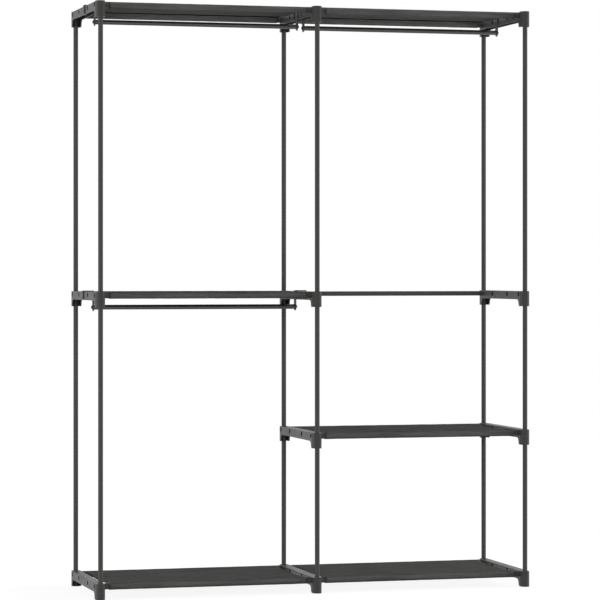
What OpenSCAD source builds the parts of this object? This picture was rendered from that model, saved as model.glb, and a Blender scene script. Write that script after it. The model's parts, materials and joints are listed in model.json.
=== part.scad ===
// Open two-bay closet frame. Three ladder frames of round uprights and moulded side
// beams stand side by side. Round tubes in fabric shelves join them, and three rods
// hang from hooks that slide along the beams.

/* [Overall] */
// Height from the floor to the top of the caps
overall_h = 1700; // [1500:5:2000]
// Distance between neighbouring ladder frames, centre to centre
bay_pitch = 638; // [400:1:800]
// Distance between the front and rear uprights, centre to centre
upright_gap = 370; // [320:1:450]
// Height of the middle beams' top faces
middle_level = 873; // [700:1:1100]
// Height of the lower shelf's beams' top faces
lower_level = 464; // [250:1:600]

/* [Tubes] */
// Outer diameter of the uprights and the shelf tubes
tube_d = 14; // [12:0.5:15]
// Wall of the uprights and the shelf tubes
tube_wall = 0.8; // [0.6:0.1:1.5]
// Outer diameter of the hanging rods
rod_d = 14; // [12:0.5:16]
// Wall of the hanging rods
rod_wall = 0.8; // [0.6:0.1:1.5]

/* [Side beams] */
// Width of a beam across its flanks
beam_w = 28; // [26:0.5:34]
// Height of a beam between its two legs
beam_h = 24.5; // [22:0.5:28]
// Height of a leg, which holds the sockets for the uprights
leg_h = 44.6; // [42:0.2:56]
// Radius of the leg's round nose
nose_r = 12.6; // [11.5:0.1:13]
// Distance from the upright's axis to where the flanks begin to draw in to the nose
draw_in = 4.5; // [2:0.5:12]
// Distance from the upright's axis to the back of the leg at its toe
toe_back = 16; // [14:0.5:17]
// Distance from the upright's axis to the back of the leg below the fillet
heel_back = 18; // [17.5:0.5:22]
// Radius of the fillet between the leg and the beam
fillet_r = 14; // [8:0.5:16]
// Radius of the rounded corner at the leg's toe
toe_r = 3; // [1:0.5:4]
// Radius of the beam's rounded top edges
edge_r = 1.5; // [1:0.25:3]
// Thickness of the flanks
flank_t = 2.6; // [2:0.1:4]
// Thickness of the web along the top
top_t = 3; // [2:0.1:4]
// Thickness of the wall between two tubes that meet in a leg
stop_t = 3; // [2:0.2:5]
// Wall of an upright's socket where the leg is open at its back
socket_t = 1.4; // [1.1:0.1:1.6]
// Width of the bevel at the mouth of an upright's socket
bevel = 0.7; // [0.4:0.1:1]

/* [Ribs] */
// Thickness of the ribs under a beam
rib_t = 1.8; // [1.2:0.1:2.4]
// How far the ribs stay above the flanks' lower edges
rib_recess = 9; // [6:0.5:14]
// Number of cross ribs between a leg's side socket and the inner one
end_ribs = 2; // [1:1:3]
// Number of cross ribs between the two inner side sockets
middle_ribs = 3; // [1:1:4]

/* [Side sockets] */
// Distance from the upright's axis to the outer side socket
outer_socket_in = 18; // [17:0.5:20]
// Distance from the upright's axis to the inner side socket
inner_socket_in = 119; // [90:1:130]
// Distance from the beam's top face down to the side sockets' axes
socket_drop = 9.2; // [8.8:0.1:11]
// Wall of the round boss that holds a side socket
boss_t = 2; // [1.5:0.1:2.5]
// Thickness of the wall between two tubes that meet in a side socket
side_stop_t = 2; // [1.5:0.1:4]

/* [Shelves] */
// Distance from a ladder frame's centre plane to the end of the fabric
shelf_inset = 28; // [24:0.5:40]
// Thickness of the fabric, with its lining
fabric_t = 1.6; // [0.8:0.1:2.4]
// Play between a tube and the sleeve that hangs on it
sleeve_play = 0.9; // [0.3:0.1:1.5]
// How far the doubled cloth reaches inwards from a tube's axis
flap_w = 60; // [30:1:90]

/* [Collars, caps and pads] */
// Outer diameter of the collar on a shelf tube's end
collar_d = 18; // [17:0.2:20]
// Gap between a collar and the fabric
collar_gap = 1; // [0.4:0.1:2]
// Bevel at the collar's inner end
collar_bevel = 1; // [0.4:0.1:1.2]
// Height of a cap over the top beams
cap_t = 2; // [1.8:0.1:5]
// Thickness of a pad under the foot beams
pad_t = 1.6; // [1.5:0.1:5]
// Radius of the dome on the caps and under the pads
dome_r = 100; // [90:5:200]
// Length of the plug that holds a cap or a pad in its leg
plug_l = 15; // [8:0.5:18]

/* [Hanging rods] */
// Distance from a beam's top face down to the hanging rod's axis
rod_drop = 45.5; // [44:0.5:60]
// Width of a hook's strap
hook_w = 19; // [17:0.5:24]
// Thickness of a hook's strap
hook_t = 2.6; // [2:0.1:4]
// Radius of the strap's corners over the beam
strap_corner = 2.4; // [1:0.2:2.8]
// Length of the hook's leg on the beam's far flank
hook_leg = 22; // [12:0.5:24]
// How far the hook reaches below the rod's axis
hook_tail = 11.5; // [10:0.5:14]
// Length of the plug that holds the rod on its hook
rod_plug_l = 18; // [10:0.5:30]
// Radius of the button on the outside of a hook
button_r = 6.2; // [5:0.1:7.5]
// How far the button stands out of the hook
button_t = 5.2; // [3:0.1:6]
// Place of the left bay's middle rod, counted back from mid-depth
left_middle_rod_y = 0; // [-60:1:60]
// Place of the left bay's top rod, counted back from mid-depth
left_top_rod_y = -20; // [-60:1:-14]
// Place of the right bay's top rod, counted back from mid-depth
right_top_rod_y = 22; // [14:1:60]

/* [Hidden] */
$fn = 64;

// Clearances
tube_fit = 0.2;       // radial, a tube in its socket
collar_fit = 0.1;     // radial, a collar on its tube
plug_fit = 0.15;      // radial, a plug in a socket or a rod
sleeve_fit = 0.2;     // a sleeve on the top of its tube
hook_play = 0.3;      // a hook on its beam
pad_flat = 0.3;       // how deep the pads' domes are cut flat

// Levels of the beams' top faces
foot = ["foot", pad_t + leg_h];
lower = ["lower", lower_level];
middle = ["middle", middle_level];
top = ["top", overall_h - cap_t];

// Each ladder frame: name, centre plane and levels
left_x = -bay_pitch;
frames = [
    ["left", left_x, [foot, middle, top]],
    ["centre", 0, [foot, lower, middle, top]],
    ["right", bay_pitch, [foot, lower, middle, top]],
];

// Each side of a ladder frame: name, and where its uprights stand
half_gap = upright_gap / 2;
sides = [["front", -half_gap], ["rear", half_gap]];

// Each shelf: name, left frame's centre plane and level
shelves = [
    ["left_foot", left_x, foot[1]],
    ["left_middle", left_x, middle[1]],
    ["left_top", left_x, top[1]],
    ["right_foot", 0, foot[1]],
    ["right_lower", 0, lower[1]],
    ["right_top", 0, top[1]],
];

// Each hanging rod: name, left frame's centre plane, level and place
rods = [
    ["left_middle", left_x, middle[1], left_middle_rod_y],
    ["left_top", left_x, top[1], left_top_rod_y],
    ["right_top", 0, top[1], right_top_rod_y],
];

// Names of the pieces that repeat
function beam_name(frame, level) = str(frame[0], "_", level[0], "_beam");
function upright_name(frame, side, i) =
    str(frame[0], "_", side[0], "_", frame[2][i][0], "_to_", frame[2][i + 1][0], "_upright");
function tube_name(shelf, side) = str(shelf[0], "_shelf_", side[0], "_tube");

// Sizes that follow from the ones above
socket_r = tube_d / 2 + tube_fit;
socket_depth = (leg_h - stop_t) / 2;
boss_r = socket_r + boss_t;
tube_y = half_gap - outer_socket_in;
sleeve_r = tube_d / 2 + sleeve_play + fabric_t;
sleeve_z = sleeve_fit - sleeve_play;
hook_face = beam_w / 2 + hook_play;
plastic = [0.27, 0.27, 0.265];
steel = [0.29, 0.29, 0.285];
fabric = [0.25, 0.25, 0.245];

// A round tube that stands on the plane z = 0
module pipe(length, diameter, wall) {
    difference() {
        cylinder(h = length, d = diameter);
        translate([0, 0, -1]) cylinder(h = length + 2, d = diameter - 2 * wall);
    }
}

// Turns a shape that stands on z = 0 to point along +X
module along_x() {
    rotate([0, 90, 0]) children();
}

// Plan of a beam's end, from the round nose to a distance behind the upright's axis,
// which is the origin. The beam runs along the second coordinate.
module end_plan(back) {
    circle(r = nose_r);
    polygon([
        [-nose_r, 0], [nose_r, 0],
        [beam_w / 2, draw_in], [beam_w / 2, back],
        [-beam_w / 2, back], [-beam_w / 2, draw_in],
    ]);
}

// Side view of a beam's end, as far as mid-depth. The first coordinate runs from the
// upright's axis towards mid-depth, and the second one is the height.
module end_side_view() {
    fillet = min(fillet_r, leg_h - beam_h - 2);
    fillet_z = -beam_h - fillet;
    translate([-nose_r - 1, -beam_h]) square([nose_r + half_gap + 2, beam_h + 1]);
    polygon([
        [-nose_r - 1, 1], [-nose_r - 1, -leg_h], [toe_back - toe_r, -leg_h],
        [toe_back, toe_r - leg_h], [heel_back, fillet_z], [heel_back, 1],
    ]);
    translate([toe_back - toe_r, toe_r - leg_h]) circle(r = toe_r);
    difference() {
        translate([heel_back - 1, fillet_z]) square([fillet + 1, fillet + 1]);
        translate([heel_back + fillet, fillet_z]) circle(r = fillet);
    }
}

// End view of a beam, with its rounded top edges
module beam_end_view() {
    corner_x = beam_w / 2 - edge_r;
    translate([-beam_w / 2, -leg_h - 1]) square([beam_w, leg_h + 1 - edge_r]);
    translate([-corner_x, -edge_r - 1]) square([2 * corner_x, edge_r + 1]);
    for (x = [-corner_x, corner_x]) translate([x, -edge_r]) circle(r = edge_r);
}

// Outer form of a beam: its plan, side view and end view cut one another
module beam_form() {
    intersection() {
        translate([0, 0, -leg_h]) linear_extrude(leg_h)
            for (m = [0, 1]) mirror([0, m]) translate([0, -half_gap]) end_plan(half_gap + 1);
        rotate([90, 0, 90]) translate([0, 0, -beam_w / 2 - 1]) linear_extrude(beam_w + 2)
            for (m = [0, 1]) mirror([m, 0]) translate([-half_gap, 0]) end_side_view();
        rotate([90, 0, 0]) translate([0, 0, -half_gap - nose_r - 1])
            linear_extrude(upright_gap + 2 * nose_r + 2) beam_end_view();
    }
}

// Plan of the hollow between the flanks, from one leg's sockets to the other's
module hollow_plan() {
    leg_x = nose_r - flank_t;
    beam_x = beam_w / 2 - flank_t;
    for (m = [0, 1]) mirror([0, m]) polygon([
        [-beam_x, -1], [beam_x, -1], [beam_x, half_gap - draw_in],
        [leg_x, half_gap], [-leg_x, half_gap], [-beam_x, half_gap - draw_in],
    ]);
}

// Sockets' walls and ribs that stand in the hollow under a beam
module hollow_walls() {
    inner_y = half_gap - inner_socket_in;
    rib_h = beam_h - rib_recess;
    saddle_h = socket_drop + socket_r + boss_t / 2;
    end_pitch = (tube_y - inner_y) / (end_ribs + 1);
    middle_pitch = 2 * inner_y / (middle_ribs + 1);
    rib_ys = concat(
        [for (i = [1:end_ribs], s = [-1, 1]) s * (tube_y - i * end_pitch)],
        [for (i = [1:middle_ribs]) -inner_y + i * middle_pitch]
    );
    for (y = rib_ys) translate([-beam_w / 2, y - rib_t / 2, -rib_h]) cube([beam_w, rib_t, rib_h]);
    translate([-rib_t / 2, -half_gap, -rib_h]) cube([rib_t, upright_gap, rib_h]);
    for (y = [-tube_y, -inner_y, inner_y, tube_y])
        translate([-beam_w / 2, y, -socket_drop]) along_x() cylinder(h = beam_w, r = boss_r);
    for (m = [0, 1]) mirror([0, m, 0]) {
        translate([0, half_gap, -leg_h - 2]) cylinder(h = leg_h + 2, r = socket_r + socket_t);
        translate([-socket_r, tube_y, -saddle_h]) cube([2 * socket_r, outer_socket_in, saddle_h]);
    }
}

// Socket for an upright, from its mouth at z = 0 down to the stop
module upright_bore() {
    translate([0, 0, -socket_depth]) cylinder(h = socket_depth + 1, r = socket_r);
    translate([0, 0, -bevel]) cylinder(h = 2 * bevel, r1 = socket_r, r2 = socket_r + 2 * bevel);
}

// Moulded side beam, with its top face at z = 0. It is open below, and so is the side
// of each leg that faces mid-depth.
module beam_shape() {
    difference() {
        beam_form();
        difference() {
            translate([0, 0, -leg_h - 1]) linear_extrude(leg_h + 1 - top_t) hollow_plan();
            hollow_walls();
        }
        for (y = [-half_gap, half_gap]) {
            translate([0, y, 0]) upright_bore();
            translate([0, y, -leg_h]) mirror([0, 0, 1]) upright_bore();
        }
        for (inset = [outer_socket_in, inner_socket_in], s = [-1, 1], m = [0, 1])
            mirror([m, 0, 0]) translate([side_stop_t / 2, s * (half_gap - inset), -socket_drop])
                along_x() cylinder(h = beam_w / 2, r = socket_r);
    }
}

module side_beam(x, level) {
    color(plastic) translate([x, 0, level]) beam_shape();
}

// Upright between the beams at two levels, pushed home in both
module upright(x, y, low, high) {
    start = low - socket_depth;
    color(steel) translate([x, y, start]) pipe(high - leg_h + socket_depth - start, tube_d, tube_wall);
}

// Tube across a bay, pushed home in the side sockets of its two beams
module shelf_tube(x, y, level) {
    color(steel) translate([x + side_stop_t / 2, y, level - socket_drop])
        along_x() pipe(bay_pitch - side_stop_t, tube_d, tube_wall);
}

// Section of a shelf: a panel with a sleeve along its front and its rear edge. The
// sleeves' cloth goes on under the panel as a flap.
module shelf_section() {
    panel_z = sleeve_z + sleeve_r - fabric_t;
    difference() {
        union() {
            translate([-tube_y, panel_z]) square([2 * tube_y, fabric_t]);
            for (m = [0, 1]) mirror([m, 0]) {
                translate([-tube_y, sleeve_z]) circle(r = sleeve_r);
                translate([-tube_y, panel_z - fabric_t]) square([flap_w, 1.5 * fabric_t]);
            }
        }
        for (y = [-tube_y, tube_y]) translate([y, sleeve_z]) circle(r = sleeve_r - fabric_t);
    }
}

module shelf(x, level) {
    color(fabric) translate([x + shelf_inset, 0, level - socket_drop])
        rotate([90, 0, 90]) linear_extrude(bay_pitch - 2 * shelf_inset) shelf_section();
}

// Ring round the end of a shelf tube, which stands against the beam's flank
module collar() {
    length = shelf_inset - beam_w / 2 - collar_gap;
    inner_r = tube_d / 2 + collar_fit;
    rotate_extrude() polygon([
        [inner_r, 0], [collar_d / 2, 0], [collar_d / 2, length - collar_bevel],
        [collar_d / 2 - collar_bevel, length], [inner_r, length],
    ]);
}

module collars() {
    color(plastic) for (shelf = shelves, side = [-1, 1], m = [0, 1])
        translate([shelf[1] + bay_pitch / 2, side * tube_y, shelf[2] - socket_drop]) mirror([m, 0, 0])
            translate([beam_w / 2 - bay_pitch / 2, 0, 0]) along_x() collar();
}

// Plate with a domed face and a plug, which closes a leg's socket. The plate's flat
// face lies at z = 0, back is where its straight edge lies behind the upright's axis,
// and flat is how deep the dome is cut off level.
module leg_cover(height, back, flat) {
    intersection() {
        linear_extrude(height) end_plan(back);
        translate([0, 0, height + flat - dome_r]) sphere(r = dome_r, $fn = 128);
    }
    translate([0, 0, -plug_l]) cylinder(h = plug_l + height / 4, r = socket_r - plug_fit);
}

// One cover at the top or the foot of every upright
module covers_at(level) {
    for (frame = frames, m = [0, 1])
        translate([frame[1], 0, level]) mirror([0, m, 0]) translate([0, -half_gap, 0]) children();
}

module caps() {
    color(plastic) covers_at(top[1]) leg_cover(cap_t, heel_back, 0);
}

module pads() {
    color(plastic) covers_at(pad_t) mirror([0, 0, 1])
        leg_cover(pad_t, toe_back - toe_r / 2, pad_flat);
}

// Strap of a hook seen from the front, with the beam's centre plane and top face as
// its axes. The rod lies towards +X.
module strap_front_view() {
    outer = hook_face + hook_t;
    corner_z = hook_play + hook_t - strap_corner;
    difference() {
        union() {
            translate([-outer, -hook_leg]) square([2 * outer, hook_leg + corner_z]);
            translate([strap_corner - outer, 0]) square([2 * (outer - strap_corner), hook_play + hook_t]);
            for (s = [-1, 1]) translate([s * (outer - strap_corner), corner_z]) circle(r = strap_corner);
            translate([hook_face, -rod_drop - hook_tail]) square([hook_t, rod_drop + hook_tail]);
        }
        translate([-hook_face, -rod_drop - hook_tail - 1])
            square([2 * hook_face, rod_drop + hook_tail + 1 + hook_play]);
    }
}

// Strap of a hook seen along the rod, with a round end below
module strap_side_view() {
    round_z = hook_w / 2 - rod_drop - hook_tail;
    translate([-hook_w / 2, round_z]) square([hook_w, hook_play + hook_t + 1 - round_z]);
    translate([0, round_z]) circle(d = hook_w);
}

// Hook at the left end of a rod: a strap over the beam, a plug for the rod and a button
module hook_shape() {
    button_ball = (button_r ^ 2 + button_t ^ 2) / (2 * button_t);
    button_x = hook_face - button_t;
    intersection() {
        rotate([90, 0, 0]) translate([0, 0, -hook_w / 2 - 1]) linear_extrude(hook_w + 2) strap_front_view();
        rotate([90, 0, 90]) translate([0, 0, -beam_w]) linear_extrude(2 * beam_w) strap_side_view();
    }
    translate([hook_face + hook_t / 2, 0, -rod_drop])
        along_x() cylinder(h = hook_t / 2 + rod_plug_l, r = rod_d / 2 - rod_wall - plug_fit);
    intersection() {
        translate([button_x, 0, -rod_drop]) along_x() cylinder(h = button_t + hook_t / 2, r = button_r);
        translate([button_x + button_ball, 0, -rod_drop]) sphere(r = button_ball);
    }
}

// Hook at one end of a rod; end is 0 at the left and 1 at the right
module rod_hook(rod, end) {
    color(plastic) translate([rod[1] + end * bay_pitch, rod[3], rod[2]]) mirror([end, 0, 0]) hook_shape();
}

module hanging_rod(rod) {
    inset = hook_face + hook_t;
    color(steel) translate([rod[1] + inset, rod[3], rod[2] - rod_drop])
        along_x() pipe(bay_pitch - 2 * inset, rod_d, rod_wall);
}

for (frame = frames, level = frame[2])
    side_beam(frame[1], level[1]);
for (frame = frames, side = sides, i = [0:len(frame[2]) - 2])
    upright(frame[1], side[1], frame[2][i][1], frame[2][i + 1][1]);
for (shelf = shelves)
    shelf(shelf[1], shelf[2]);
for (shelf = shelves, side = sides)
    shelf_tube(shelf[1], sign(side[1]) * tube_y, shelf[2]);
shelf_tube(0, tube_y, middle[1]);  // right_middle_rear_rail
collars();  // shelf_tube_collars
caps();  // top_caps
pads();  // foot_pads
for (rod = rods)
    hanging_rod(rod);
for (rod = rods, end = [0, 1])
    rod_hook(rod, end);
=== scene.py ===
import json
import math
import random

import bpy
import numpy as np
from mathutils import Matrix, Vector, noise


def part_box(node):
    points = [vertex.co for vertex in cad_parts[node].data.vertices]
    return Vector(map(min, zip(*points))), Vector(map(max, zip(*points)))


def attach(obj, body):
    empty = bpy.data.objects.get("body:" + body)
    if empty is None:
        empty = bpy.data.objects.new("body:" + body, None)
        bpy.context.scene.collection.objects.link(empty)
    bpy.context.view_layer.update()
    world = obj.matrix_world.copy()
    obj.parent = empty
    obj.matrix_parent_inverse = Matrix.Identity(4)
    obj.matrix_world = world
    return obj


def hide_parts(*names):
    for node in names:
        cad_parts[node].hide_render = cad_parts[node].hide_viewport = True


# Open wardrobe frame: the looks. Everything is in metres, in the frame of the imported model.

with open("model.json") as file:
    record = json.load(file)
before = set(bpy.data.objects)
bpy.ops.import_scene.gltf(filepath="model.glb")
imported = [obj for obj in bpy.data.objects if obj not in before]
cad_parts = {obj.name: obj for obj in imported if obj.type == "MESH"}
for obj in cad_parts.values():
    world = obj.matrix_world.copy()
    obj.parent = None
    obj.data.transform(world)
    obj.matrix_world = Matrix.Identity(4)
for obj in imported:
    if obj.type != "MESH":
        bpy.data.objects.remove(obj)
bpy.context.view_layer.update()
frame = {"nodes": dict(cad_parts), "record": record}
nodes = frame["nodes"]
scene = bpy.context.scene
print("frame loaded:", len(nodes), "pieces")


# Small helpers for objects and shader trees

noiseEnds = (0.3, 0.7)        # most of a noise texture's values lie between these
white = (1, 1, 1, 1)


def newObject(name, data):
    made = bpy.data.objects.new(name, data)
    scene.collection.objects.link(made)
    return made


def newMesh(name, points, faces, smooth=False):
    mesh = bpy.data.meshes.new(name)
    mesh.from_pydata(points, [], faces)
    mesh.polygons.foreach_set("use_smooth", [smooth] * len(faces))
    mesh.update()
    return mesh


def newMaterial(name):
    material = bpy.data.materials.new(name)
    material.use_nodes = True
    tree = material.node_tree
    tree.nodes.clear()
    return material, tree


def addNode(tree, kind, inputs=None, **settings):
    node = tree.nodes.new(kind)
    for key, value in settings.items():
        setattr(node, key, value)
    for key, value in (inputs or {}).items():
        socket = node.inputs[key]
        if isinstance(value, bpy.types.NodeSocket):
            tree.links.new(value, socket)
        else:
            socket.default_value = value
    return node


def maths(tree, operation, *values):
    return addNode(tree, "ShaderNodeMath", dict(enumerate(values)), operation=operation).outputs[0]


def total(tree, first, *others):
    for other in others:
        first = maths(tree, "ADD", first, other)
    return first


def ownPlace(tree):
    # the place of a point in its piece's own axes
    return addNode(tree, "ShaderNodeTexCoord").outputs["Object"]


def noiseAt(tree, vector, size, detail=2.0, roughness=0.5):
    # size is the width of one lump, in metres
    return addNode(tree, "ShaderNodeTexNoise", {
        "Vector": vector, "Scale": 1 / size, "Detail": detail, "Roughness": roughness,
    }).outputs["Fac"]


def remap(tree, value, low, high, toLow, toHigh):
    return addNode(tree, "ShaderNodeMapRange", {
        "Value": value, "From Min": low, "From Max": high, "To Min": toLow, "To Max": toHigh,
    }).outputs["Result"]


def spread(tree, noiseValue, low, high):
    # a noise that runs from low to high
    return remap(tree, noiseValue, *noiseEnds, low, high)


def around(tree, noiseValue, contrast, middle=0.0):
    # a noise spread over the given contrast, about a middle value
    return spread(tree, noiseValue, middle - contrast / 2, middle + contrast / 2)


def roughAround(tree, noiseValue, look):
    low, high = look["roughSpread"]
    return spread(tree, noiseValue, look["roughness"] + low, look["roughness"] + high)


def scaledVector(tree, vector, scale):
    node = addNode(tree, "ShaderNodeVectorMath", {0: vector, 1: scale}, operation="MULTIPLY")
    return node.outputs[0]


def brightened(tree, colour, factor):
    node = addNode(tree, "ShaderNodeVectorMath", {0: colour, "Scale": factor}, operation="SCALE")
    return node.outputs[0]


def bump(tree, height, depth):
    # depth is the real height of the relief, in metres
    return addNode(tree, "ShaderNodeBump", {
        "Height": height, "Strength": 1.0, "Distance": depth,
    }).outputs[0]


def finishMaterial(tree, inputs):
    shader = addNode(tree, "ShaderNodeBsdfPrincipled", inputs)
    addNode(tree, "ShaderNodeOutputMaterial", {"Surface": shader.outputs[0]})


# Moulded plastic of the beams, hooks, collars, caps and pads

plasticLook = {
    "colour": (0.035, 0.035, 0.034),
    "middle": 0.985,          # the shade that the contrasts play about
    "roughness": 0.42,
    "roughSpread": (-0.04, 0.05),   # over the mottle
    "specular": 0.3,
    "grainSize": 0.0006,
    "grainDepth": 0.000045,
    "grainContrast": 0.22,
    "mottleSize": 0.035,
    "mottleContrast": 0.15,   # cloudy patches of the moulding
    "flowSize": 0.00875,
    "flowStretch": (1.0, 0.12, 1.0),
    "flowContrast": 0.10,     # flow lines along the beam
    "edgeRadius": 0.0012,
    "edgeSamples": 6,
    "edgeLikeness": (0.99, 0.88),   # of a rounded normal to the true one, at no and at full edge wear and painted highlight
    "wearAndHighlightLift": 1.2,          # how much lighter the edges are painted: wear, plus a painted highlight of their small rounding
    "edgePolish": -0.10,      # change of roughness on them
    "wearAndHighlightSize": 0.009,
    "wearAndHighlightNoise": (0.35, 0.65),
    "wearAndHighlightShare": (0.25, 1.0),  # share of the edge wear and painted highlight that the least and the most worn patches keep
}


def edgeMask(tree, look):
    # 1 on the edges, which hands and hangers rub and where a painted highlight of their rounding
    # goes, and 0 on open faces
    rounded = addNode(tree, "ShaderNodeBevel", {"Radius": look["edgeRadius"]},
                      samples=look["edgeSamples"]).outputs[0]
    sharp = addNode(tree, "ShaderNodeNewGeometry").outputs["True Normal"]
    likeness = addNode(tree, "ShaderNodeVectorMath", {0: rounded, 1: sharp},
                       operation="DOT_PRODUCT").outputs["Value"]
    return remap(tree, likeness, *look["edgeLikeness"], 0.0, 1.0)


def plasticMaterial(name, look):
    material, tree = newMaterial(name)
    place = ownPlace(tree)
    mottle = noiseAt(tree, place, look["mottleSize"], detail=3.0)
    flow = noiseAt(tree, scaledVector(tree, place, look["flowStretch"]), look["flowSize"])
    grain = noiseAt(tree, place, look["grainSize"], roughness=0.6)
    patches = noiseAt(tree, place, look["wearAndHighlightSize"])
    patches = remap(tree, patches, *look["wearAndHighlightNoise"], *look["wearAndHighlightShare"])
    # the edges are painted lighter: partly wear, partly a painted highlight where their small
    # rounding would catch light
    wearAndHighlight = maths(tree, "MULTIPLY", edgeMask(tree, look), patches)
    shade = total(
        tree,
        around(tree, mottle, look["mottleContrast"], look["middle"]),
        around(tree, flow, look["flowContrast"]),
        maths(tree, "MULTIPLY", wearAndHighlight, look["wearAndHighlightLift"]),
        around(tree, grain, look["grainContrast"]),
    )
    finishMaterial(tree, {
        "Base Color": brightened(tree, look["colour"], shade),
        "Roughness": total(tree, roughAround(tree, mottle, look),
                           maths(tree, "MULTIPLY", wearAndHighlight, look["edgePolish"])),
        "Normal": bump(tree, grain, look["grainDepth"]),
        "Specular IOR Level": look["specular"],
    })
    return material


# Powder coat on the steel tubes and rods

coatLook = {
    "colour": (0.055, 0.055, 0.053),
    "middle": 0.985,
    "roughness": 0.60,
    "roughSpread": (-0.03, 0.04),   # over the cloud
    "specular": 0.2,
    "peelSize": 0.0016,       # orange peel of the baked powder
    "peelDepth": 0.000028,
    "speckSize": 0.00045,     # paler grains of powder
    "speckNoise": (0.60, 0.72),     # the noise's values where a grain starts and is full
    "speckLift": 0.30,
    "speckRough": (-0.03, 0.03),
    "speckRelief": 0.35,      # the grains' height, as a share of the peel's
    "cloudSize": 0.06,
    "cloudContrast": 0.08,
}


def coatMaterial(name, look):
    material, tree = newMaterial(name)
    place = ownPlace(tree)
    peel = noiseAt(tree, place, look["peelSize"])
    specks = noiseAt(tree, place, look["speckSize"], detail=1.0)
    cloud = noiseAt(tree, place, look["cloudSize"], detail=3.0)
    shade = total(tree, around(tree, cloud, look["cloudContrast"], look["middle"]),
                  remap(tree, specks, *look["speckNoise"], 0.0, look["speckLift"]))
    height = total(tree, peel, maths(tree, "MULTIPLY", specks, look["speckRelief"]))
    finishMaterial(tree, {
        "Base Color": brightened(tree, look["colour"], shade),
        "Roughness": total(tree, roughAround(tree, cloud, look),
                           spread(tree, specks, *look["speckRough"])),
        "Normal": bump(tree, height, look["peelDepth"]),
        "Specular IOR Level": look["specular"],
    })
    return material


# Woven cloth of the shelves. clothPlace is stored on the mesh: metres along the weft and the warp.

clothLook = {
    "colour": (0.107, 0.107, 0.104),
    "roughness": (0.92, 0.84),      # beside the slubs, and on them
    "specular": 0.02,
    "threadPitch": 0.0009,
    "threadDepth": 0.00011,
    "slubWidth": 0.0035,
    "slubLength": 0.085,
    "slubContrast": 0.36,
    "slubRelief": 0.6,        # the slubs' height, as a share of the threads'
    "streakWidth": 0.013,     # broad bands where thicker weft was used
    "streakLength": 0.16,
    "streakContrast": 0.36,
    "cloudSize": 0.09,
    "cloudContrast": 0.10,
    "fuzzSize": 0.00035,
    "fuzzContrast": 0.16,
    "paintedWeaveShade": (0.62, 1.12),     # painted shade between the threads, and lighter on their crowns
}


def threadHeight(tree, across, along, pitch):
    # one set of round threads, which dips under every second crossing thread
    turn = maths(tree, "MULTIPLY", across, math.pi / pitch)
    crown = maths(tree, "ABSOLUTE", maths(tree, "SINE", turn))
    row = maths(tree, "FLOOR", maths(tree, "DIVIDE", across, pitch))
    wave = total(tree, maths(tree, "MULTIPLY", along, math.pi / pitch),
                 maths(tree, "MULTIPLY", row, math.pi))
    over = maths(tree, "MULTIPLY_ADD", maths(tree, "SINE", wave), 0.5, 0.5)   # from 0 to 1
    return maths(tree, "MULTIPLY", crown, over)


def weftNoise(tree, place, length, width, **settings):
    # a noise whose lumps are drawn out along the weft
    stretched = scaledVector(tree, place, (1 / length, 1 / width, 1.0))
    return noiseAt(tree, stretched, 1.0, **settings)


def clothMaterial(name, look):
    material, tree = newMaterial(name)
    place = addNode(tree, "ShaderNodeAttribute", attribute_name="clothPlace").outputs["Vector"]
    parts = addNode(tree, "ShaderNodeSeparateXYZ", {"Vector": place}).outputs
    pitch = look["threadPitch"]
    warp = threadHeight(tree, parts["X"], parts["Y"], pitch)
    weft = threadHeight(tree, parts["Y"], parts["X"], pitch)
    weave = maths(tree, "MAXIMUM", warp, weft)
    slub = weftNoise(tree, place, look["slubLength"], look["slubWidth"], detail=3.0, roughness=0.6)
    streak = weftNoise(tree, place, look["streakLength"], look["streakWidth"])
    cloud = noiseAt(tree, place, look["cloudSize"], detail=3.0)
    fuzz = noiseAt(tree, place, look["fuzzSize"])
    bands = total(
        tree,
        around(tree, slub, look["slubContrast"], 1.0),
        around(tree, cloud, look["cloudContrast"]),
        around(tree, streak, look["streakContrast"]),
    )
    # painted shade: the cloth's colour is darker between the threads than on them
    woven = maths(tree, "MULTIPLY", bands, remap(tree, weave, 0.0, 1.0, *look["paintedWeaveShade"]))
    shade = total(tree, woven, around(tree, fuzz, look["fuzzContrast"]))
    height = total(tree, weave, maths(tree, "MULTIPLY", slub, look["slubRelief"]))
    finishMaterial(tree, {
        "Base Color": brightened(tree, look["colour"], shade),
        "Roughness": spread(tree, slub, *look["roughness"]),
        "Normal": bump(tree, height, look["threadDepth"]),
        "Specular IOR Level": look["specular"],
    })
    return material


# Twisted thread of the seams

threadLook = {
    "colour": (0.050, 0.050, 0.048),
    "stretch": (1.0, 0.6, 0.6),
    "twists": 900.0,          # scale of the twist's waves
    "distortion": 1.5,
    "shade": (0.8, 1.15),     # painted shade between the strands, and lighter on them
    "roughness": (0.62, 0.5),
    "depth": 0.00005,
    "sheen": 0.1,
}


def threadMaterial(name, look):
    material, tree = newMaterial(name)
    twist = addNode(tree, "ShaderNodeTexWave", {
        "Vector": scaledVector(tree, ownPlace(tree), look["stretch"]),
        "Scale": look["twists"], "Distortion": look["distortion"],
    }).outputs["Fac"]
    # painted shade: the thread's colour is darker between its twisted strands
    shade = remap(tree, twist, 0.0, 1.0, *look["shade"])
    finishMaterial(tree, {
        "Base Color": brightened(tree, look["colour"], shade),
        "Roughness": remap(tree, twist, 0.0, 1.0, *look["roughness"]),
        "Normal": bump(tree, twist, look["depth"]),
        "Sheen Weight": look["sheen"],
    })
    return material


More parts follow.
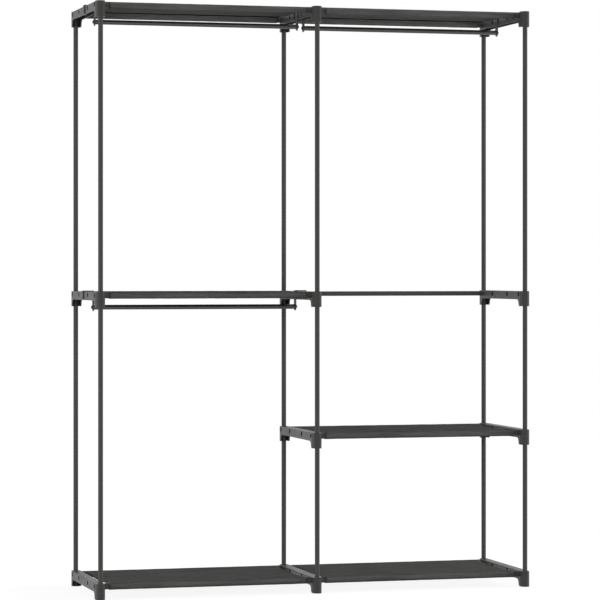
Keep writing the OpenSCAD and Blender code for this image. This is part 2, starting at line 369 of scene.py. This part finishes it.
hookLook = {**plasticLook, "roughness": 0.46}
rodLook = {**coatLook, "colour": (0.016, 0.016, 0.0155), "roughness": 0.28, "specular": 0.9}
finishes = {
    "moulded_plastic": plasticMaterial("mouldedPlastic", plasticLook),
    "hook_plastic": plasticMaterial("hookPlastic", hookLook),
    "coated_tube": coatMaterial("coatedTube", coatLook),
    "coated_rod": coatMaterial("coatedRod", rodLook),
    "shelf_fabric": clothMaterial("shelfCloth", clothLook),
}
sewingThread = threadMaterial("sewingThread", threadLook)

for part in frame["record"]["subparts"]:
    piece = nodes[part["node"]]
    piece.data.materials.clear()
    piece.data.materials.append(finishes[part["material_slot"]])
print("finishes set on the frame's pieces")


# Fabric shelves: one cloth each, turned round both tubes and sewn to itself underneath

shelfCut = {
    "ply": 0.0012,            # thickness of the cloth
    "gap": 0.0001,            # air between two plies
    "sideHem": 0.009,         # width turned under at the left and right edges
    "hemGrow": 0.0007,        # extra thickness of that double edge
    "hemBlend": 0.0015,       # width over which the edge takes on that thickness
    "seamBack": 0.0115,       # stitch line that closes a sleeve, inboard of the tube's axis
    "flapEnd": 0.0605,        # hemmed end of the cloth under the panel, inboard of the tube's axis
    "flapHem": 0.008,         # width of that hem
    "flapDroop": 0.0031,      # how far its free edge hangs off the panel
    "droopPower": 1.6,        # the droop grows with this power of the distance from the seam
    "flapRows": 9,
    "seamSteps": 3,           # steps of the cloth between a seam and its sleeve
    "sleeveSteps": 20,        # steps of the cloth round a tube
    "columnStep": 0.006,
    "rowStep": 0.007,
    "patternShift": 0.01,     # between the patterns of the cloth's two sides
}
settling = {
    "slack": 0.0006,          # spare length of the panel, as a share of its span
    "mostSag": 0.006,
    "frames": 18,             # length of the simulation, in which the cloth comes to rest
    "cloth": {                # Blender's own settings, with the mass of one point of the mesh
        "quality": 6, "mass": 0.004, "tension_stiffness": 30, "compression_stiffness": 30,
        "shear_stiffness": 12, "bending_stiffness": 0.05,
    },
}
shelfWaves = {                # each one: scales of a noise across and along, its layer, its height
    "lumps": ((9, 26, 0, 0.0011), (28, 55, 3, 0.0004)),
    "flap": (11, 3, 20.0, 0.0006),
    "puckers": (42, 30, 7.0, 0.00030),
    "puckerReach": 0.012,     # from a tube's axis, over which the puckers are at their full height
    "puckerFade": 0.018,      # width over which they then die out
    "mostShift": 50,          # each panel takes its lumps from a place of its own in the noise
    "seedShift": (3.7, 1.3),
}
stitchLook = {
    "length": 0.0034,
    "pitch": 0.0040,
    "radius": 0.00032,
    "stand": 0.00022,         # how far the thread's middle stands off the cloth
    "sides": 6,
    "wobble": 0.06,           # most turn of a stitch off its line
    "rings": (                # place along the stitch, lift off the cloth, and thickness
        (-1.0, -1.2, 0.75), (-0.62, 0.6, 1.0), (0.0, 1.0, 1.08), (0.62, 0.6, 1.0),
        (1.0, -1.2, 0.75),
    ),
    "seamInset": 0.003,       # bare cloth at each end of a line of stitches
    "hemInset": 0.004,
    "hemShare": 0.7,          # the side hem's stitch line, as a share of the hem's width
}


def gridFaces(count, columns):
    return [(a, a + 1, a + columns + 1, a + columns)
            for r in range(count - 1) for a in range(r * columns, (r + 1) * columns - 1)]


def settlePanel(name, xs, ys, height, seed):
    # A flat cloth pinned along both seams, which settles under its own weight. Returns how far
    # each point has moved from the flat panel.
    rng = random.Random(seed)
    most = shelfWaves["mostShift"]
    shift = Vector((rng.uniform(0, most), rng.uniform(0, most), 0))
    span = ys[-1] - ys[0]
    sag = span * math.sqrt(3 / 8 * settling["slack"])   # of a shallow arc with that spare length
    points = []
    for y in ys:
        part = 1 - (2 * (y - ys[0]) / span - 1) ** 2
        for x in xs:
            lumps = sum(noise.noise(Vector((x * across, y * along, layer)) + shift) * tall
                        for across, along, layer, tall in shelfWaves["lumps"])
            points.append((x, y, height - part * sag + lumps * part))
    flat = np.array([(x, y, height) for y in ys for x in xs])
    columns = len(xs)
    mesh = newMesh(name + "_panel", points, gridFaces(len(ys), columns))
    panel = newObject(name + "_panel", mesh)
    seams = panel.vertex_groups.new(name="seams")
    ends = list(range(columns)) + list(range(len(points) - columns, len(points)))
    seams.add(ends, 1.0, "REPLACE")
    cloth = panel.modifiers.new("settle", "CLOTH")
    for key, value in settling["cloth"].items():
        setattr(cloth.settings, key, value)
    cloth.settings.vertex_group_mass = "seams"
    cloth.collision_settings.use_collision = False
    for step in range(settling["frames"]):
        scene.frame_set(step + 1)
    settled = panel.evaluated_get(bpy.context.evaluated_depsgraph_get())
    moved = np.array([v.co for v in settled.data.vertices]) - flat
    bpy.data.objects.remove(panel)
    scene.frame_set(1)
    return np.clip(moved, -settling["mostSag"], settling["mostSag"])


def sleevePath(radius):
    # From the free end of the flap under the panel to the top of the sleeve, as (distance inboard
    # of the sleeve's axis, height over it). The cloth leaves the seam on a tangent and goes round
    # under the tube.
    under = radius - shelfCut["ply"] - shelfCut["gap"]
    seam = (shelfCut["seamBack"], under)
    reach = math.hypot(*seam)
    angle = math.atan2(seam[1], seam[0]) - math.acos(min(1.0, radius / reach))
    start = (radius * math.cos(angle), radius * math.sin(angle))
    path = []
    last = shelfCut["flapRows"] - 1
    for i in range(last + 1):
        share = 1 - i / last
        path.append((seam[0] + (shelfCut["flapEnd"] - seam[0]) * share,
                     under - shelfCut["flapDroop"] * share ** shelfCut["droopPower"]))
    steps = shelfCut["seamSteps"]
    for i in range(1, steps):
        path.append(tuple(s + (t - s) * i / steps for s, t in zip(seam, start)))
    steps = shelfCut["sleeveSteps"]
    sweep = angle + 1.5 * math.pi     # ends at the top of the sleeve
    for i in range(steps + 1):
        turn = angle - sweep * i / steps
        path.append((radius * math.cos(turn), radius * math.sin(turn)))
    return path


def tubeAxis(name):
    low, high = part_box(name)
    return (low.y + high.y) / 2


def waveFlaps(skin, rows, xs, ys, moved, shift):
    # the flaps follow the panel over them, and their free edges wave a little
    across, along, layer, tall = shelfWaves["flap"]
    flap = shelfCut["flapRows"]
    for r in list(range(flap)) + list(range(len(rows) - flap, len(rows))):
        y = rows[r][0]
        skin[r, :, 2] += [np.interp(y, ys, moved[:, c, 2]) for c in range(len(xs))]
        loose = min(r, len(rows) - 1 - r)
        for c, x in enumerate(xs):
            wave = noise.noise(Vector((x * across, y * along, layer)) + shift)
            skin[r, c, 2] += tall * wave * (1 - loose / (flap - 1))


def puckerSleeves(skin, rows, xs, axes, axisZ, shift):
    # small puckers round the sleeves, which die out on the panel past the seam
    across, along, layer, tall = shelfWaves["puckers"]
    full, width = shelfWaves["puckerReach"], shelfWaves["puckerFade"]
    for r, (y, z) in enumerate(rows):
        side = -1 if abs(y - axes[0]) < abs(y - axes[1]) else 1
        centreY = axes[0] if side < 0 else axes[1]
        near = abs(y - centreY)
        if near > full + width:
            continue
        out = Vector((0, y - centreY, z - axisZ)).normalized()
        fade = 1.0 if near < full else max(0.0, 1 - (near - full) / width)
        for c, x in enumerate(xs):
            wave = noise.noise(Vector((x * across, side * layer, y * along)) + shift)
            skin[r, c] += np.array(out) * wave * tall * fade


def shelfSkin(name, seed):
    # The middle surface of the cloth, in rows from the free end of one flap to that of the other
    low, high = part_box(name)
    axes = (tubeAxis(name + "_front_tube"), tubeAxis(name + "_rear_tube"))
    frontY, rearY = axes
    axisZ = (low.z + high.z) / 2
    radius = (high.z - low.z) / 2 - shelfCut["ply"] / 2
    top = axisZ + radius
    xs = np.linspace(low.x, high.x, round((high.x - low.x) / shelfCut["columnStep"]) + 1)
    back, steps = shelfCut["seamBack"], shelfCut["seamSteps"]
    inFront, inRear = frontY + back, rearY - back
    ys = np.linspace(inFront, inRear, round((inRear - inFront) / shelfCut["rowStep"]) + 1)
    moved = settlePanel(name, xs, ys, top, seed).reshape(len(ys), len(xs), 3)
    sleeve = sleevePath(radius)
    front = [(frontY + d, axisZ + h) for d, h in sleeve]
    front += [(frontY + back * i / steps, top) for i in range(1, steps)]
    rear = [(rearY - back * i / steps, top) for i in reversed(range(1, steps))]
    rear += [(rearY - d, axisZ + h) for d, h in reversed(sleeve)]
    rows = front + [(y, top) for y in ys] + rear
    skin = np.zeros((len(rows), len(xs), 3))
    skin[:, :, 0] = xs
    skin[:, :, 1:] = np.array(rows)[:, None, :]
    skin[len(front):len(front) + len(ys)] += moved
    shift = Vector((*(seed * step for step in shelfWaves["seedShift"]), 0))
    waveFlaps(skin, rows, xs, ys, moved, shift)
    puckerSleeves(skin, rows, xs, axes, axisZ, shift)
    seams = (len(front), len(front) + len(ys) - 1)
    return skin, rows, seams


def surfaceNormals(skin):
    along = np.gradient(skin, axis=1)
    down = np.gradient(skin, axis=0)
    normals = np.cross(along, down)
    return normals / np.linalg.norm(normals, axis=2, keepdims=True)


def hemFold(toEdge, hem):
    # 1 in the hem and 0 past it, with a short slope between them
    return np.clip((hem - toEdge) / shelfCut["hemBlend"] + 0.5, 0, 1)


def closedSheet(name, skin, rows):
    # The middle surface gets an outer and an inner skin, and the inner one stands off further
    # along all hems
    normals = surfaceNormals(skin)
    count, columns = skin.shape[:2]
    xs = skin[0, :, 0]
    sideFold = hemFold(np.minimum(xs - xs[0], xs[-1] - xs), shelfCut["sideHem"])
    lengths = np.cumsum([0.0] + [math.dist(a, b) for a, b in zip(rows, rows[1:])])
    endFold = hemFold(np.minimum(lengths, lengths[-1] - lengths), shelfCut["flapHem"])
    grow = np.maximum(sideFold[None, :], endFold[:, None])[:, :, None] * shelfCut["hemGrow"]
    outer = skin + normals * shelfCut["ply"] / 2
    inner = skin - normals * (shelfCut["ply"] / 2 + grow)
    points = np.concatenate([outer.reshape(-1, 3), inner.reshape(-1, 3)])
    size = count * columns
    faces = []
    for a, b, c, d in gridFaces(count, columns):
        faces += [(a, b, c, d), (size + a, size + d, size + c, size + b)]
    rim = list(range(columns)) + [r * columns + columns - 1 for r in range(1, count)]
    rim += [(count - 1) * columns + c for c in range(columns - 2, -1, -1)]
    rim += [r * columns for r in range(count - 2, 0, -1)]
    for i, a in enumerate(rim):
        b = rim[(i + 1) % len(rim)]
        faces.append((b, a, size + a, size + b))
    mesh = newMesh(name, points.tolist(), faces, smooth=True)
    place = np.zeros((count, columns, 3))
    place[:, :, 0] = xs[None, :]
    place[:, :, 1] = lengths[:, None]
    place = place.reshape(-1, 3)
    both = np.concatenate([place, place + (0.0, 0.0, shelfCut["patternShift"])])
    attribute = mesh.attributes.new("clothPlace", "FLOAT_VECTOR", "POINT")
    attribute.data.foreach_set("vector", both.astype(np.float32).ravel())
    return newObject(name, mesh), normals, lengths[-1] + 2 * shelfCut["flapHem"]


def addStitch(points, faces, middle, along, out, rng):
    # One short run of thread that dives into the cloth at both ends
    half, radius = stitchLook["length"] / 2, stitchLook["radius"]
    sides, rings, most = stitchLook["sides"], stitchLook["rings"], stitchLook["wobble"]
    across = along.cross(out).normalized()
    along = (along + across * rng.uniform(-most, most)).normalized()
    start = len(points)
    for part, lift, thick in rings:
        centre = middle + along * (half * part) + out * (stitchLook["stand"] * lift)
        for s in range(sides):
            turn = 2 * math.pi * s / sides
            spoke = across * math.cos(turn) + out * math.sin(turn)
            points.append(centre + spoke * radius * thick)
    end = start + (len(rings) - 1) * sides
    for ring in range(start, end, sides):
        for s in range(sides):
            a, b = ring + s, ring + (s + 1) % sides
            faces.append((b, a, a + sides, b + sides))
    faces.append(tuple(start + s for s in range(sides)))
    faces.append(tuple(end + s for s in reversed(range(sides))))


def sewAlong(points, faces, line, outs, offset, rng, inset):
    lengths = [0.0]
    for a, b in zip(line, line[1:]):
        lengths.append(lengths[-1] + (b - a).length)
    count = int((lengths[-1] - 2 * inset) / stitchLook["pitch"])
    first = (lengths[-1] - (count - 1) * stitchLook["pitch"]) / 2
    at = 0
    for i in range(count):
        want = first + i * stitchLook["pitch"]
        while at < len(line) - 2 and lengths[at + 1] < want:
            at += 1
        share = (want - lengths[at]) / (lengths[at + 1] - lengths[at])
        middle = line[at].lerp(line[at + 1], share)
        out = outs[at].lerp(outs[at + 1], share).normalized()
        along = (line[at + 1] - line[at]).normalized()
        addStitch(points, faces, middle + out * offset, along, out, rng)


def sewShelf(name, skin, normals, seams, seed):
    rng = random.Random(seed)
    points, faces = [], []
    half = shelfCut["ply"] / 2
    inset = stitchLook["seamInset"]
    # the two seams, which show again under the flap, and the hems of the flaps
    underFlap = 1.5 * shelfCut["ply"] + shelfCut["gap"]
    lines = [(seams[0], underFlap), (seams[1], underFlap), (1, None), (len(skin) - 2, None)]
    for row, below in lines:
        line, outs = [Vector(p) for p in skin[row]], [Vector(n) for n in normals[row]]
        sewAlong(points, faces, line, outs, half, rng, inset)
        if below is not None:
            sewAlong(points, faces, line, [-n for n in outs], below, rng, inset)
    # the hems at the left and right edges, which show on both sides
    inset = stitchLook["hemInset"]
    xs = skin[0, :, 0]
    inHem = stitchLook["hemShare"] * shelfCut["sideHem"]
    panel = range(seams[0], seams[1] + 1)
    for x in (xs[0] + inHem, xs[-1] - inHem):
        c = int(np.argmin(abs(xs - x)))
        line = [Vector((x, skin[r, c, 1], skin[r, c, 2])) for r in panel]
        outs = [Vector(normals[r, c]) for r in panel]
        sewAlong(points, faces, line, outs, half, rng, inset)
        sewAlong(points, faces, line, [-n for n in outs], half + shelfCut["hemGrow"], rng, inset)
    mesh = newMesh(name + "_stitches", [tuple(p) for p in points], faces, smooth=True)
    thread = newObject(name + "_stitches", mesh)
    thread.data.materials.append(sewingThread)
    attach(thread, "frame")
    return thread


def makeShelf(name, seed):
    skin, rows, seams = shelfSkin(name, seed)
    cloth, normals, cut = closedSheet(name + "_cloth", skin, rows)
    cloth.data.materials.append(finishes["shelf_fabric"])
    thread = sewShelf(name, skin, normals, seams, seed)
    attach(cloth, "frame")
    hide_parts(name)


for seed, name in enumerate(sorted(n for n in nodes if n.endswith("_shelf")), start=1):
    makeShelf(name, seed)
    print("shelf made:", name)


# Camera, at the place and angle of the photograph

cameraSetup = {
    "place": (-2.2119, -7.9848, 0.9385),
    "yaw": 15.48,             # degrees to the right of straight on
    "focalPixels": 2801.8,
    "horizonPixel": 268.95,   # row of the horizon in the 600 pixel frame
    "frameSize": 600,
    "sensorWidth": 36,
    "clipEnd": 60,
}


def makeCamera():
    data = bpy.data.cameras.new("camera")
    camera = newObject("camera", data)
    camera.location = cameraSetup["place"]
    camera.rotation_euler = (math.radians(90), 0, -math.radians(cameraSetup["yaw"]))
    size = cameraSetup["frameSize"]
    data.sensor_width = cameraSetup["sensorWidth"]
    data.lens = cameraSetup["sensorWidth"] * cameraSetup["focalPixels"] / size
    data.shift_y = (cameraSetup["horizonPixel"] - size / 2) / size
    data.clip_end = cameraSetup["clipEnd"]
    data.dof.use_dof = False
    scene.camera = camera


# Plain pale floor and soft light

lightSetup = {
    "ambient": 0.25,          # strength of the white surroundings, as light
    "floorReach": 40,
    "floorColour": (0.35, 0.35, 0.35),
    "floorGlow": 1.64,        # with the share below, an open stretch of floor comes out white
    "floorShare": 0.55,       # share of that glow in the rays that show the floor
    "shadowReach": (0.9, 2.2),  # the floor's shade fades to plain white between these distances
    "aim": (0.0, 0.0, 0.9),
    "lamps": {                # place, size and power
        "left": ((-5.0, -1.0, 1.0), (2.4, 1.8), 162),
        "front": ((-2.6, -9.6, 1.2), (3.0, 2.0), 264),
        "right": ((5.0, -1.0, 1.0), (2.4, 1.8), 345),
        "rear": ((1.5, 6.5, 0.8), (3.0, 1.6), 210),
        "above": ((0.0, 0.0, 5.2), (0.6, 0.3), 80),
    },
}


def shownRays(tree):
    # the rays by which the camera, gloss and glass see a surface, and not the ones that light it
    path = addNode(tree, "ShaderNodeLightPath").outputs
    seen = maths(tree, "MAXIMUM", path["Is Camera Ray"], path["Is Glossy Ray"])
    return maths(tree, "MAXIMUM", seen, path["Is Transmission Ray"])


def glowOf(tree, strength):
    return addNode(tree, "ShaderNodeEmission", {"Color": white, "Strength": strength}).outputs[0]


def mixed(tree, share, first, second):
    return addNode(tree, "ShaderNodeMixShader", {0: share, 1: first, 2: second}).outputs[0]


def makeFloor():
    reach = lightSetup["floorReach"]
    corners = [(-reach, -reach, 0), (reach, -reach, 0), (reach, reach, 0), (-reach, reach, 0)]
    floor = newObject("floor", newMesh("floor", corners, [(0, 1, 2, 3)]))
    material, tree = newMaterial("paleFloor")
    seen = shownRays(tree)
    plain = addNode(tree, "ShaderNodeBsdfDiffuse", {"Color": (*lightSetup["floorColour"], 1)})
    nearby = mixed(tree, maths(tree, "MULTIPLY", seen, lightSetup["floorShare"]),
                   plain.outputs[0], glowOf(tree, lightSetup["floorGlow"]))
    away = addNode(tree, "ShaderNodeVectorMath", {0: ownPlace(tree)}, operation="LENGTH")
    near, far = lightSetup["shadowReach"]
    faded = addNode(tree, "ShaderNodeMapRange", {
        "Value": away.outputs["Value"], "From Min": near, "From Max": far,
        "To Min": 0.0, "To Max": 1.0,
    }, interpolation_type="SMOOTHSTEP").outputs["Result"]
    both = mixed(tree, maths(tree, "MULTIPLY", faded, seen), nearby, glowOf(tree, 1.0))
    addNode(tree, "ShaderNodeOutputMaterial", {"Surface": both})
    floor.data.materials.append(material)


def makeWorld():
    world = bpy.data.worlds.new("studio")
    world.use_nodes = True
    tree = world.node_tree
    tree.nodes.clear()
    strength = remap(tree, shownRays(tree), 0.0, 1.0, lightSetup["ambient"], 1.0)
    sky = addNode(tree, "ShaderNodeBackground", {"Color": white, "Strength": strength})
    addNode(tree, "ShaderNodeOutputWorld", {"Surface": sky.outputs[0]})
    scene.world = world


def makeLamp(name, place, size, power):
    data = bpy.data.lights.new(name, "AREA")
    data.shape = "RECTANGLE"
    data.size, data.size_y = size
    data.energy = power
    lamp = newObject(name, data)
    lamp.location = place
    lamp.visible_glossy = False       # gloss shows the white surroundings alone
    aim = Vector(lightSetup["aim"]) - Vector(place)
    lamp.rotation_mode = "QUATERNION"
    lamp.rotation_quaternion = aim.to_track_quat("-Z", "Y")


makeCamera()
makeFloor()
makeWorld()
for lampName, (place, size, power) in lightSetup["lamps"].items():
    makeLamp(lampName + "Lamp", place, size, power)
scene.view_settings.view_transform = "Standard"
print("camera, floor and light set")
